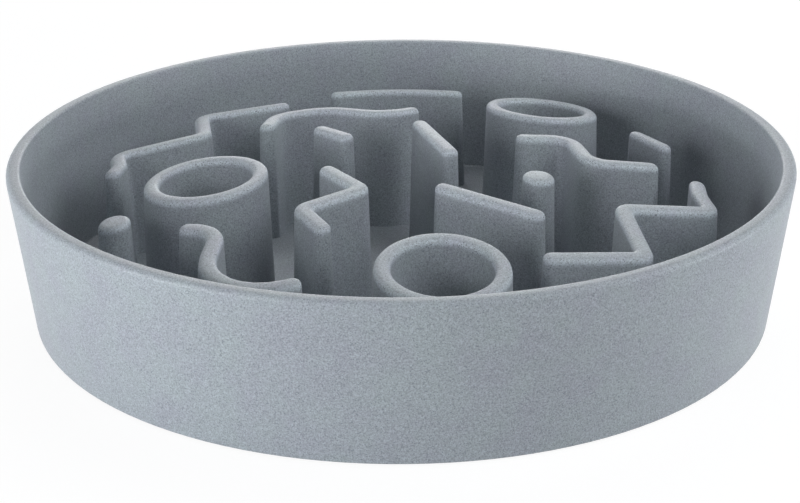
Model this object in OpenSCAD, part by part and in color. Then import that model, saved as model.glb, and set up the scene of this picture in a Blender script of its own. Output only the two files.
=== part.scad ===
// Slow feeder bowl: a round moulded bowl with a maze of drafted ridges, rings and posts
// standing on its bottom, under one shallow dome. It rests on rubber feet. Millimetres, +Z up,
// +Y towards the back, origin in the middle of the plane that the feet stand on.

/* [Bowl] */
// Outer diameter of the rim
rim_d = 280; // [260:1:340]
// Height of the moulding, from its underside to the rim
bowl_h = 56.7; // [46:0.1:75]
// Lean of the side wall from upright, in degrees
wall_lean = 6; // [3:0.1:9]
// Thickness of the side wall, measured level
wall_t = 5; // [4:0.1:6]
// Thickness of the bottom
floor_t = 3; // [2.6:0.1:6]
// Radius of the cove inside, between the side wall and the bottom
cove_r = 1.2; // [0.5:0.1:8]
// Rounding of the outer edge of the rim
rim_outer_r = 2; // [0.5:0.1:2.6]
// Rounding of the inner edge of the rim
rim_inner_r = 1; // [0.2:0.1:1.2]
// Rounding of the outer edge underneath
base_edge_r = 0.8; // [0.2:0.1:2]

/* [Domed tops of the maze] */
// How far the crown of the dome lies below the rim
crown_drop = 3.6; // [0.5:0.1:8]
// Radius of the dome
dome_r = 620; // [400:10:1200]

/* [Maze ridges] */
// Width of a ridge at its top, before the edges are rounded
ridge_w = 6; // [5:0.1:7]
// Rounding of the edges along the top of ridges, rings and posts
crest_r = 2; // [0.5:0.1:2.2]
// Draft of the sides of ridges and posts, in degrees
ridge_draft = 1.6; // [0.5:0.1:2.5]
// Smallest radius on the inner side of a bend
crease_r = 2.4; // [0.5:0.1:3]

/* [Maze rings] */
// Diameter of a ring, along the middle of its wall
ring_d = 39; // [34:0.1:42]
// Width of a ring's wall at its top, before the edges are rounded
ring_w = 5.5; // [5:0.1:6.5]
// Draft of a ring's wall, in degrees
ring_draft = 1.4; // [0.5:0.1:2.5]

/* [Maze posts] */
// Diameter of a post at its top, before the edge is rounded
post_d = 11.3; // [8:0.1:14]

/* [Feet] */
// Diameter of a rubber foot
foot_d = 16; // [10:0.5:20]
// Thickness of a rubber foot
foot_t = 2; // [1.7:0.1:3]
// Depth of the pocket in the bottom that a foot is bonded into
pocket_depth = 1.4; // [0.6:0.1:1.6]
// Radius of the circle that the feet stand on
foot_circle_r = 108; // [60:1:112]
// Gap around a foot in its pocket
foot_clearance = 0.2; // [0.05:0.05:0.5]
// Rounding of the edge that a foot stands on
foot_edge_r = 0.4; // [0.1:0.1:0.5]

/* [Hidden] */

// How finely the round stretches are divided
bend_steps = 8;
end_steps = 5;
edge_steps = 4;
ring_steps = 56;
post_steps = 36;
cove_steps = 12;
$fn = 180;

overrun = 1;
foot_count = 6;

moulding_colour = [0.57, 0.61, 0.65];
rubber_colour = [0.17, 0.18, 0.19];

// Levels and radii that follow from the sizes above. The rim's rounding takes away its sharp
// corner, which lies a little outside the rim's own radius.
rim_r = rim_d / 2;
base_z = foot_t - pocket_depth;
rim_z = base_z + bowl_h;
floor_z = base_z + floor_t;
corner_r = rim_r + rim_outer_r * (tan(wall_lean) + 1 / cos(wall_lean) - 1);
base_r = corner_r - bowl_h * tan(wall_lean);
floor_r = base_r - wall_t + floor_t * tan(wall_lean);
crown_z = rim_z - crown_drop;
maze_h = crown_z - floor_z;

// Middle lines of the ridges, corner by corner, and the radii at the corners between.
// All are shares of the rim's radius, with x to the right and y to the back.
zigzag_back_left_shares = [[-0.759, 0.066], [-0.75, 0.12], [-0.772, 0.218], [-0.541, 0.304],
    [-0.574, 0.536], [-0.346, 0.601]];
zigzag_back_left_bend_shares = [0.03, 0.043, 0.029, 0.043];

wave_back_shares = [[-0.369, 0.336], [-0.351, 0.444], [-0.214, 0.502], [-0.046, 0.401], [0.029, 0.458]];
wave_back_bend_shares = [0.093, 0.128, 0.114];

arc_back_shares = [[-0.187, 0.748], [-0.014, 0.789], [0.162, 0.753]];
arc_back_bend_shares = [0.74];

stub_left_shares = [[-0.216, 0.259], [-0.149, 0.179]];

zigzag_centre_shares = [[-0.186, -0.087], [-0.096, -0.221], [-0.244, -0.323], [-0.189, -0.429]];
zigzag_centre_bend_shares = [0.018, 0.021];

wave_front_left_shares = [[-0.513, -0.381], [-0.434, -0.404], [-0.475, -0.748], [-0.246, -0.683]];
wave_front_left_bend_shares = [0.077, 0.145];

stub_centre_shares = [[0.053, 0.296], [0.127, 0.046]];

bar_centre_shares = [[0.105, -0.215], [0.326, -0.349]];

step_right_shares = [[0.33, 0.191], [0.456, 0.216], [0.493, 0.021], [0.653, 0.049]];
step_right_bend_shares = [0.057, 0.057];

stub_right_shares = [[0.656, 0.347], [0.716, 0.254]];

zigzag_right_shares = [[0.347, -0.564], [0.571, -0.521], [0.542, -0.273], [0.773, -0.216],
    [0.759, -0.115], [0.763, -0.046]];
zigzag_right_bend_shares = [0.024, 0.024, 0.03, 0.05];

// Centres of the rings and posts, as shares of the rim's radius
ring_left_share = [-0.498, -0.083];
ring_back_right_share = [0.405, 0.549];
ring_front_share = [0.094, -0.631];
post_left_share = [-0.703, -0.296];
post_right_share = [0.347, -0.122];

// Height of the dome above a point of the plan
function dome_z(p) = crown_z - dome_r + sqrt(dome_r * dome_r - p.x * p.x - p.y * p.y);

function unit(v) = v / norm(v);
function turned(v, angle) = [v.x * cos(angle) - v.y * sin(angle), v.x * sin(angle) + v.y * cos(angle)];

// Points of a corner rounded to radius r, from the side of the point before to that after
function rounded_corner(before, corner, after, r, steps) =
    let (
        a = unit(before - corner),
        b = unit(after - corner),
        half_angle = acos(a * b) / 2,
        centre = corner + unit(a + b) * r / sin(half_angle),
        first = corner + a * r / tan(half_angle) - centre,
        sweep = sign(cross(-a, b)) * (180 - 2 * half_angle)
    )
    [for (j = [0:steps]) centre + turned(first, sweep * j / steps)];

// Corner k of a path moved sideways by w, to the left where w is positive
function moved_corner(path, k, w) =
    let (
        m = turned(unit(path[k] - path[k - 1]), 90),
        n = turned(unit(path[k + 1] - path[k]), 90)
    )
    path[k] + w * (m + n) / (1 + m * n);

// One side of a ridge: each corner is rounded about the same centre as the middle line,
// and no tighter than the crease where the side runs on the inside of the bend
function side_points(path, bends, w) =
    [for (k = [1:1:len(path) - 2])
        let (
            before = path[k] - path[k - 1],
            after = path[k + 1] - path[k],
            corner = moved_corner(path, k, w),
            r = max(crease_r, bends[k - 1] - w * sign(cross(before, after)))
        )
        each rounded_corner(corner - before, corner, corner + after, r, bend_steps)];

// Part of a round end, from one angle to another, counted from the direction that it faces
function end_points(p, facing, w, from, to, steps) =
    [for (j = [0:steps]) p + w * turned(facing, from + (to - from) * j / steps)];

function reversed(list) = [for (k = [len(list) - 1:-1:0]) list[k]];
function without_last(list) = [for (k = [0:len(list) - 2]) list[k]];

// Outline of a ridge at half width w, counter-clockwise from the tip of its first end,
// so that point k lies across the ridge from point count - k
function ridge_outline(path, bends, w) =
    let (
        last = len(path) - 1,
        start_facing = unit(path[0] - path[1]),
        end_facing = unit(path[last] - path[last - 1])
    )
    concat(
        end_points(path[0], start_facing, w, 0, 90, end_steps),
        side_points(path, bends, -w),
        end_points(path[last], end_facing, w, -90, 90, 2 * end_steps),
        reversed(side_points(path, bends, w)),
        without_last(end_points(path[0], start_facing, w, -90, 0, end_steps))
    );

function round_outline(centre, r) =
    [for (k = [0:post_steps - 1]) centre + turned([r, 0], 360 * k / post_steps)];

// Sections of a wall of the maze, from the bottom up: the half width, and the depth
// below the dome. The first section has no depth because it stands on the bottom.
function wall_sections(half_w, draft) =
    concat(
        [[half_w + maze_h * tan(draft), undef]],
        [for (j = [0:edge_steps])
            let (a = 90 * j / edge_steps)
            [half_w - crest_r * (1 - cos(a)), crest_r * (1 - sin(a))]]
    );

function section_z(p, depth) = is_undef(depth) ? floor_z : dome_z(p) - depth;

// Solid through outlines of equal length, one above the other. The two flat faces are
// strips between the points that lie across from each other.
module stacked(outlines, depths) {
    count = len(outlines[0]);
    levels = len(outlines);
    points = [for (l = [0:levels - 1]) for (p = outlines[l]) [p.x, p.y, section_z(p, depths[l])]];
    sides = [for (l = [0:levels - 2]) for (k = [0:count - 1])
        let (
            low = l * count + k,
            low_next = l * count + (k + 1) % count,
            high = low + count,
            high_next = low_next + count
        )
        each [[low, high, high_next], [low, high_next, low_next]]];
    strip = concat(
        [[0, 1, count - 1]],
        [for (k = [1:count / 2 - 2])
            each [[k, k + 1, count - k - 1], [k, count - k - 1, count - k]]],
        [[count / 2 - 1, count / 2, count / 2 + 1]]
    );
    top = (levels - 1) * count;
    top_faces = [for (f = strip) [f[2] + top, f[1] + top, f[0] + top]];
    polyhedron(points = points, faces = concat(sides, strip, top_faces));
}

// A ridge along a middle line, given in shares of the rim's radius
module ridge(path_shares, bend_shares = []) {
    path = path_shares * rim_r;
    bends = bend_shares * rim_r;
    sections = wall_sections(ridge_w / 2, ridge_draft);
    color(moulding_colour)
        stacked([for (s = sections) ridge_outline(path, bends, s[0])], [for (s = sections) s[1]]);
}

// A round post
module post(centre_share) {
    centre = centre_share * rim_r;
    sections = wall_sections(post_d / 2, ridge_draft);
    color(moulding_colour)
        stacked([for (s = sections) round_outline(centre, s[0])], [for (s = sections) s[1]]);
}

// A ring: the section of its wall is carried round, and its top follows the dome
module ring(centre_share) {
    centre = centre_share * rim_r;
    outer = wall_sections(ring_w / 2, ring_draft);
    inner = [for (s = reversed(outer)) [-s[0], s[1]]];
    section = concat(outer, inner);
    count = len(section);
    points = [for (k = [0:ring_steps - 1]) for (s = section)
        let (p = centre + turned([ring_d / 2 + s[0], 0], 360 * k / ring_steps))
        [p.x, p.y, section_z(p, s[1])]];
    faces = [for (k = [0:ring_steps - 1]) for (j = [0:count - 1])
        let (
            here = k * count,
            next = (k + 1) % ring_steps * count,
            up = (j + 1) % count
        )
        each [[here + j, here + up, next + up], [here + j, next + up, next + j]]];
    color(moulding_colour) polyhedron(points = points, faces = faces);
}

// Middle of foot i in the plan
function foot_place(i) = turned([foot_circle_r, 0], 360 * (i - 0.5) / foot_count);

// The bowl: bottom and side wall in one turned profile, with a pocket for each foot
module bowl_shell() {
    outer_foot = [base_r, base_z];
    outer_rim = [corner_r, rim_z];
    inner_rim = [corner_r - wall_t, rim_z];
    inner_foot = [floor_r, floor_z];
    under_middle = [0, base_z];
    floor_middle = [0, floor_z];
    profile = concat(
        [under_middle],
        rounded_corner(under_middle, outer_foot, outer_rim, base_edge_r, edge_steps),
        rounded_corner(outer_foot, outer_rim, inner_rim, rim_outer_r, cove_steps),
        rounded_corner(outer_rim, inner_rim, inner_foot, rim_inner_r, edge_steps),
        rounded_corner(inner_rim, inner_foot, floor_middle, cove_r, cove_steps),
        [floor_middle]
    );
    color(moulding_colour) difference() {
        rotate_extrude() polygon(profile);
        for (i = [1:foot_count])
            translate([foot_place(i).x, foot_place(i).y, base_z - overrun])
                cylinder(r = foot_d / 2 + foot_clearance, h = pocket_depth + overrun);
    }
}

// A rubber foot, bonded to the roof of its pocket
module foot(i) {
    foot_r = foot_d / 2;
    edge = rounded_corner([0, 0], [foot_r, 0], [foot_r, foot_t], foot_edge_r, edge_steps);
    color(rubber_colour)
        translate([foot_place(i).x, foot_place(i).y, 0])
            rotate_extrude() polygon(concat([[0, 0]], edge, [[foot_r, foot_t], [0, foot_t]]));
}

module zigzag_back_left() ridge(zigzag_back_left_shares, zigzag_back_left_bend_shares);
module wave_back() ridge(wave_back_shares, wave_back_bend_shares);
module arc_back() ridge(arc_back_shares, arc_back_bend_shares);
module stub_left() ridge(stub_left_shares);
module zigzag_centre() ridge(zigzag_centre_shares, zigzag_centre_bend_shares);
module wave_front_left() ridge(wave_front_left_shares, wave_front_left_bend_shares);
module stub_centre() ridge(stub_centre_shares);
module bar_centre() ridge(bar_centre_shares);
module step_right() ridge(step_right_shares, step_right_bend_shares);
module stub_right() ridge(stub_right_shares);
module zigzag_right() ridge(zigzag_right_shares, zigzag_right_bend_shares);
module ring_left() ring(ring_left_share);
module ring_back_right() ring(ring_back_right_share);
module ring_front() ring(ring_front_share);
module post_left() post(post_left_share);
module post_right() post(post_right_share);

bowl_shell();
zigzag_back_left();
wave_back();
arc_back();
stub_left();
zigzag_centre();
wave_front_left();
stub_centre();
bar_centre();
step_right();
stub_right();
zigzag_right();
ring_left();
ring_back_right();
ring_front();
post_left();
post_right();
foot(1);  // foot_1
foot(2);  // foot_2
foot(3);  // foot_3
foot(4);  // foot_4
foot(5);  // foot_5
foot(6);  // foot_6
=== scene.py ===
import bmesh
import bpy
import math
from mathutils import Matrix, Vector


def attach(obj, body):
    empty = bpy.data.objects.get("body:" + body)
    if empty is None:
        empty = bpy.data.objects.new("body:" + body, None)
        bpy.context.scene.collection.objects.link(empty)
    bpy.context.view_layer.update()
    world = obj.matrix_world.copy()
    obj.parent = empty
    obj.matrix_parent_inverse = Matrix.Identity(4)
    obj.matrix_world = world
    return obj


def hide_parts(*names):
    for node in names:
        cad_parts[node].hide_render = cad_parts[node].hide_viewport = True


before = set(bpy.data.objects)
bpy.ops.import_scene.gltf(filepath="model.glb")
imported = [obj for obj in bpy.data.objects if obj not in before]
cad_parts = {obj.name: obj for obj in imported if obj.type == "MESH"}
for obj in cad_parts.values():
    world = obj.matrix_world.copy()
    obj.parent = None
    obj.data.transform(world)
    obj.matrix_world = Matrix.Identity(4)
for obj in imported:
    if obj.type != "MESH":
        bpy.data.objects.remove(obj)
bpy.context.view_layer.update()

MM = 0.001

# The islands of the maze, which are one moulding with bowl_shell, and the feet under it
RIDGES = [
    "zigzag_back_left", "wave_back", "arc_back", "stub_left", "zigzag_centre",
    "wave_front_left", "stub_centre", "bar_centre", "step_right", "stub_right",
    "zigzag_right",
]
RINGS = ["ring_left", "ring_back_right", "ring_front"]
POSTS = ["post_left", "post_right"]
FEET = ["foot_%d" % number for number in range(1, 7)]

# Joining a CAD mesh's loose triangles: the gap that closes, and the least angle that stays sharp
MERGE_GAP = 0.002 * MM
SHARP_ANGLE = math.radians(40)

# The camera, as fitted to the photograph's view. Lengths in metres.
PHOTO_WIDTH = 800
PHOTO_HEIGHT = 503
FOCAL_PIXELS = 1764.67
CENTRE_ROW = 320.0
CAMERA_PLACE = Vector((0.00004, -0.60477, 0.26567))
CAMERA_PITCH = math.radians(24.696)
CAMERA_YAW = math.radians(0.069)
CAMERA_ROLL = math.radians(-0.301)
SENSOR_WIDTH = 36.0
NEAREST_SEEN = 0.01
FARTHEST_SEEN = 50

# The composite's mottle: its two tints, and how far along the noise each of them is pure
BODY_VIOLET = (0.367, 0.387, 0.427, 1)
BODY_TEAL = (0.381, 0.422, 0.439, 1)
VIOLET_TO = 0.35
TEAL_FROM = 0.65
MOTTLE_SCALE = 70
MOTTLE_DETAIL = 3.0
MOTTLE_ROUGHNESS = 0.6

# Its grain: how much lighter and darker it makes the tint
GRAIN_CONTRAST = 0.36
GRAIN_DARKEST_AT = 0.3
GRAIN_LIGHTEST_AT = 0.7
GRAIN_SCALE = 1900
GRAIN_DETAIL = 3.0
GRAIN_ROUGHNESS = 0.7

# Its dark and light specks
DARK_SPECK = (0.24, 0.265, 0.29, 1)
LIGHT_SPECK = (0.48, 0.53, 0.56, 1)
DARK_SPECK_SIZE = 0.8 * MM
LIGHT_SPECK_SIZE = 0.9 * MM
DARK_SPECK_AMOUNT = 0.08
LIGHT_SPECK_AMOUNT = 0.07
SPECK_SOFTNESS = 0.06
SPECK_EDGE_SHARE = 0.6
SPECK_EDGE_DETAIL = 2.0
LIGHT_SPECKS_MOVED = (0.37, 0.11, 0.53)

# Its fine pits and its matt shine
PIT_SCALE = 1100.0
PIT_DETAIL = 4.0
PIT_ROUGHNESS = 0.65
PIT_STRENGTH = 0.3
PIT_DEPTH = 0.08 * MM
COMPOSITE_ROUGHNESS = 0.5
COMPOSITE_SPECULAR = 0.5

# Its painted highlight: the maze's tops are painted a little lighter than its walls, and their
# rounded edges more so, standing in for the light that falls on them.
# The dome that the tops lie under, and how far below it the painted highlight is full, fades and
# ends.
DOME_RADIUS = 620 * MM
DOME_CROWN = 53.7 * MM
UNHIGHLIGHTED_DEPTH = 1.0
TOP_PAINTED_HIGHLIGHT = 0.2
EDGE_PAINTED_HIGHLIGHT = 0.54
EDGE_HIGHLIGHT_FULL = 0.9 * MM
EDGE_HIGHLIGHT_FADES = 1.4 * MM
EDGE_HIGHLIGHT_ENDS = 3.1 * MM

# The feet's rubber
RUBBER_DARK = (0.022, 0.023, 0.025, 1)
RUBBER_PALE = (0.045, 0.046, 0.048, 1)
RUBBER_ROUGHNESS = 0.8
RUBBER_GRAIN_SCALE = 1200.0
RUBBER_GRAIN_DETAIL = 3.0
RUBBER_GRAIN_STRENGTH = 0.3
RUBBER_GRAIN_DEPTH = 0.1 * MM

# The floor: its size, what it reflects, and how white it is where it is seen
WHITE = (1, 1, 1, 1)
FLOOR_RADIUS = 0.9
FLOOR_SIDES = 64
FLOOR_GAP = 0.05 * MM
FLOOR_COLOUR = (0.9, 0.9, 0.9, 1)
FLOOR_WHITE = 1.08
FLOOR_WHITE_SHARE = 0.85

# The surroundings give no light of their own, and are seen as white
SURROUNDINGS_LIGHT = 0.0
SURROUNDINGS_WHITE = 1.0

# The soft boxes. Each has its azimuth from the camera's side to the right and its elevation in
# degrees, its size in metres, its power in watts and its tint.
BOX_DISTANCE = 1.3
WIDE = 0.8
NARROW = 0.25
COOL = (0.92, 0.955, 1.0)
PLAIN = (0.985, 0.99, 1.0)
SOFT_BOXES = {
    "back_box": (180, 62, WIDE, 3.8, PLAIN),
    "back_low_box": (180, 12, WIDE, 5.8, PLAIN),
    "left_box": (-45, 12, WIDE, 8.6, COOL),
    "left_low_box": (-66, 2.0, NARROW, 8.0, COOL),
    "right_box": (45, 38, WIDE, 3.6, COOL),
    "right_side_box": (90, 38, WIDE, 4.7, COOL),
    "right_low_box": (88, 1.5, NARROW, 6.0, COOL),
}

# A Mix node's sockets for colours, and a Mix Shader's for its two shaders, have only numbers
UNDER_COLOUR, OVER_COLOUR, MIXED_COLOUR = 6, 7, 2
FIRST_SHADER, SECOND_SHADER = 1, 2


def new_nodes(owner):
    """Empties the owner's node tree, and gives a function that adds a node with its settings."""
    owner.use_nodes = True
    tree = owner.node_tree
    tree.nodes.clear()

    def add(kind, links=None, **settings):
        node = tree.nodes.new(kind)
        for name, value in settings.items():
            setattr(node, name, value)
        for socket, source in (links or {}).items():
            target = node.inputs[socket]
            if isinstance(source, bpy.types.NodeSocket):
                tree.links.new(source, target)
            else:
                target.default_value = source
        return node

    return add


def noise(add, place, scale, detail, roughness=0.5):
    """A cloudy noise from 0 to 1."""
    return add("ShaderNodeTexNoise", {
        "Vector": place, "Scale": scale, "Detail": detail, "Roughness": roughness,
    }).outputs["Fac"]


def worked_out(add, operation, *values):
    """The result of one sum on the given values."""
    return add("ShaderNodeMath", dict(enumerate(values)), operation=operation).outputs["Value"]


def ranged(add, value, start, end, at_start, at_end, easing="SMOOTHSTEP"):
    """The value carried over from start and end to at_start and at_end, and held beyond them."""
    return add("ShaderNodeMapRange", {
        "Value": value, "From Min": start, "From Max": end,
        "To Min": at_start, "To Max": at_end,
    }, interpolation_type=easing).outputs["Result"]


def coloured(add, mask, under, over):
    """The under colour with the over colour where the mask is 1."""
    return add("ShaderNodeMix", {
        "Factor": mask, UNDER_COLOUR: under, OVER_COLOUR: over,
    }, data_type="RGBA").outputs[MIXED_COLOUR]


def blended(add, share, first, second):
    """Two shaders blended, with the given share of the second."""
    return add("ShaderNodeMixShader", {
        "Fac": share, FIRST_SHADER: first.outputs[0], SECOND_SHADER: second.outputs[0],
    })


def specks(add, place, size, amount):
    """A mask that is 1 on scattered specks of about the given size."""
    cells = add("ShaderNodeTexVoronoi", {"Vector": place, "Scale": 1 / size})
    edge = noise(add, place, SPECK_EDGE_SHARE / size, SPECK_EDGE_DETAIL)
    spread = worked_out(add, "MULTIPLY", cells.outputs["Distance"], edge)
    return ranged(add, spread, amount + SPECK_SOFTNESS, amount, 0.0, 1.0)


def crest_painted_highlight(add):
    """How much lighter the painted highlight makes the surface at its depth below the maze's dome:
    1 where it has none.
    """
    depth = add("ShaderNodeAttribute", attribute_name="crest_depth").outputs["Fac"]
    highlight = ranged(add, depth, 0.0, EDGE_HIGHLIGHT_FULL, TOP_PAINTED_HIGHLIGHT, EDGE_PAINTED_HIGHLIGHT)
    reach = ranged(add, depth, EDGE_HIGHLIGHT_FADES, EDGE_HIGHLIGHT_ENDS, 1.0, 0.0)
    return worked_out(add, "MULTIPLY_ADD", highlight, reach, 1.0)


def moulding_material():
    """Matt slate grey-blue composite with fine dark and light specks, a faint mottle, and a painted
    highlight on the maze's tops and edges.
    """
    material = bpy.data.materials.new("moulded_composite")
    add = new_nodes(material)
    place = add("ShaderNodeTexCoord").outputs["Object"]

    mottle = noise(add, place, MOTTLE_SCALE, MOTTLE_DETAIL, MOTTLE_ROUGHNESS)
    body = add("ShaderNodeValToRGB", {"Fac": mottle})
    violet, teal = body.color_ramp.elements
    violet.position = VIOLET_TO
    violet.color = BODY_VIOLET
    teal.position = TEAL_FROM
    teal.color = BODY_TEAL

    grain = noise(add, place, GRAIN_SCALE, GRAIN_DETAIL, GRAIN_ROUGHNESS)
    grain_tone = ranged(add, grain, GRAIN_DARKEST_AT, GRAIN_LIGHTEST_AT,
                        1 - GRAIN_CONTRAST, 1 + GRAIN_CONTRAST, easing="LINEAR")
    # The grain's tone, lightened by the painted highlight on the maze's tops and rounded edges
    tone = worked_out(add, "MULTIPLY", grain_tone, crest_painted_highlight(add))
    grained = add("ShaderNodeVectorMath", {
        0: body.outputs["Color"], "Scale": tone,
    }, operation="SCALE").outputs["Vector"]

    moved_place = add("ShaderNodeMapping", {
        "Vector": place, "Location": LIGHT_SPECKS_MOVED,
    }).outputs["Vector"]
    dark = specks(add, place, DARK_SPECK_SIZE, DARK_SPECK_AMOUNT)
    light = specks(add, moved_place, LIGHT_SPECK_SIZE, LIGHT_SPECK_AMOUNT)
    darkened = coloured(add, dark, grained, DARK_SPECK)
    lightened = coloured(add, light, darkened, LIGHT_SPECK)

    pits = noise(add, place, PIT_SCALE, PIT_DETAIL, PIT_ROUGHNESS)
    relief = add("ShaderNodeBump", {
        "Height": pits, "Strength": PIT_STRENGTH, "Distance": PIT_DEPTH,
    })
    shader = add("ShaderNodeBsdfPrincipled", {
        "Base Color": lightened, "Roughness": COMPOSITE_ROUGHNESS,
        "Specular IOR Level": COMPOSITE_SPECULAR, "Normal": relief.outputs["Normal"],
    })
    add("ShaderNodeOutputMaterial", {"Surface": shader.outputs["BSDF"]})
    return material


def rubber_material():
    """Dark matt rubber with a faint grain."""
    material = bpy.data.materials.new("foot_rubber")
    add = new_nodes(material)
    place = add("ShaderNodeTexCoord").outputs["Object"]
    grain = noise(add, place, RUBBER_GRAIN_SCALE, RUBBER_GRAIN_DETAIL)
    tone = add("ShaderNodeValToRGB", {"Fac": grain})
    dark, pale = tone.color_ramp.elements
    dark.color = RUBBER_DARK
    pale.color = RUBBER_PALE
    relief = add("ShaderNodeBump", {
        "Height": grain, "Strength": RUBBER_GRAIN_STRENGTH, "Distance": RUBBER_GRAIN_DEPTH,
    })
    shader = add("ShaderNodeBsdfPrincipled", {
        "Base Color": tone.outputs["Color"], "Roughness": RUBBER_ROUGHNESS,
        "Normal": relief.outputs["Normal"],
    })
    add("ShaderNodeOutputMaterial", {"Surface": shader.outputs["BSDF"]})
    return material


def new_object(name, data):
    """An object in the scene with the given mesh, lamp or camera."""
    thing = bpy.data.objects.new(name, data)
    bpy.context.scene.collection.objects.link(thing)
    return thing


def finished_mesh(name, form):
    """A mesh of the bmesh form, which is then done with."""
    mesh = bpy.data.meshes.new(name)
    form.to_mesh(mesh)
    form.free()
    return mesh


def set_finish(mesh, material):
    """Gives a mesh its one material."""
    mesh.materials.clear()
    mesh.materials.append(material)


def crest_depth(place, highlighted):
    """How far a point lies below the dome over the maze. A piece without the painted highlight lies
    far below.
    """
    if not highlighted:
        return UNHIGHLIGHTED_DEPTH
    fall = DOME_RADIUS - math.sqrt(DOME_RADIUS ** 2 - place.x ** 2 - place.y ** 2)
    return max(0.0, DOME_CROWN - fall - place.z)


def moulded_piece(node, material, highlighted):
    """The node's own form with its triangles joined, so that its round stretches shade smoothly."""
    form = bmesh.new()
    form.from_mesh(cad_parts[node].data)
    bmesh.ops.remove_doubles(form, verts=form.verts, dist=MERGE_GAP)
    mesh = finished_mesh("moulded_" + node, form)
    mesh.shade_smooth()
    mesh.set_sharp_from_angle(angle=SHARP_ANGLE)
    # Each point's depth below the dome, which places the painted highlight on the tops and edges
    depths = mesh.attributes.new("crest_depth", "FLOAT", "POINT")
    for vertex, depth in zip(mesh.vertices, depths.data):
        depth.value = crest_depth(vertex.co, highlighted)
    set_finish(mesh, material)
    piece = new_object("moulded_" + node, mesh)
    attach(piece, "root")
    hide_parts(node)


def seen_directly(add):
    """1 for what the camera sees straight, in gloss or in glass, and 0 for what lights things."""
    path = add("ShaderNodeLightPath").outputs
    mirrored = worked_out(add, "MAXIMUM", path["Is Camera Ray"], path["Is Glossy Ray"])
    return worked_out(add, "MAXIMUM", mirrored, path["Is Transmission Ray"])


def plain_floor():
    """A wide pale floor that shows white, with the bowl's soft shadow on it."""
    form = bmesh.new()
    below_feet = Matrix.Translation((0, 0, -FLOOR_GAP))
    bmesh.ops.create_circle(
        form, cap_ends=True, segments=FLOOR_SIDES, radius=FLOOR_RADIUS, matrix=below_feet)
    mesh = finished_mesh("floor", form)
    material = bpy.data.materials.new("pale_floor")
    add = new_nodes(material)
    board = add("ShaderNodeBsdfDiffuse", {"Color": FLOOR_COLOUR})
    white = add("ShaderNodeEmission", {"Color": WHITE, "Strength": FLOOR_WHITE})
    shown = blended(add, FLOOR_WHITE_SHARE, board, white)
    mixed = blended(add, seen_directly(add), board, shown)
    add("ShaderNodeOutputMaterial", {"Surface": mixed.outputs[0]})
    set_finish(mesh, material)
    floor = new_object("floor", mesh)


def soft_box(name, azimuth, elevation, size, power, colour):
    """A square soft box that faces the bowl."""
    turn = math.radians(azimuth)
    rise = math.radians(elevation)
    level = math.cos(rise)
    facing = Vector((math.sin(turn) * level, -math.cos(turn) * level, math.sin(rise)))
    data = bpy.data.lights.new(name, "AREA")
    data.shape = "SQUARE"
    data.size = size
    data.energy = power
    data.color = colour
    lamp = new_object(name, data)
    turned = facing.to_track_quat("Z", "Y").to_matrix().to_4x4()
    lamp.matrix_world = Matrix.Translation(facing * BOX_DISTANCE) @ turned


def white_surroundings():
    """An even world that is seen as white."""
    world = bpy.data.worlds.new("surroundings")
    bpy.context.scene.world = world
    add = new_nodes(world)
    light = add("ShaderNodeBackground", {"Color": WHITE, "Strength": SURROUNDINGS_LIGHT})
    white = add("ShaderNodeBackground", {"Color": WHITE, "Strength": SURROUNDINGS_WHITE})
    mixed = blended(add, seen_directly(add), light, white)
    add("ShaderNodeOutputWorld", {"Surface": mixed.outputs[0]})


def photo_camera():
    """The camera at the photograph's place. Its shift follows the photograph's crop."""
    data = bpy.data.cameras.new("photo_camera")
    data.sensor_fit = "HORIZONTAL"
    data.sensor_width = SENSOR_WIDTH
    data.lens = FOCAL_PIXELS / PHOTO_WIDTH * SENSOR_WIDTH
    data.shift_y = (CENTRE_ROW - PHOTO_HEIGHT / 2) / PHOTO_WIDTH
    data.clip_start = NEAREST_SEEN
    data.clip_end = FARTHEST_SEEN
    camera = new_object("photo_camera", data)
    turned = (Matrix.Rotation(CAMERA_YAW, 4, "Z")
              @ Matrix.Rotation(math.pi / 2 - CAMERA_PITCH, 4, "X")
              @ Matrix.Rotation(CAMERA_ROLL, 4, "Z"))
    camera.matrix_world = Matrix.Translation(CAMERA_PLACE) @ turned
    bpy.context.scene.camera = camera


photo_camera()
white_surroundings()
for name, setting in SOFT_BOXES.items():
    soft_box(name, *setting)
plain_floor()

composite = moulding_material()
rubber = rubber_material()
# The maze's pieces get the painted highlight on their tops and edges; the bowl's shell gets none
moulded_piece("bowl_shell", composite, highlighted=False)
for node in RIDGES + RINGS + POSTS:
    moulded_piece(node, composite, highlighted=True)
for node in FEET:
    set_finish(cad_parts[node].data, rubber)

bpy.context.scene.view_settings.view_transform = "Standard"
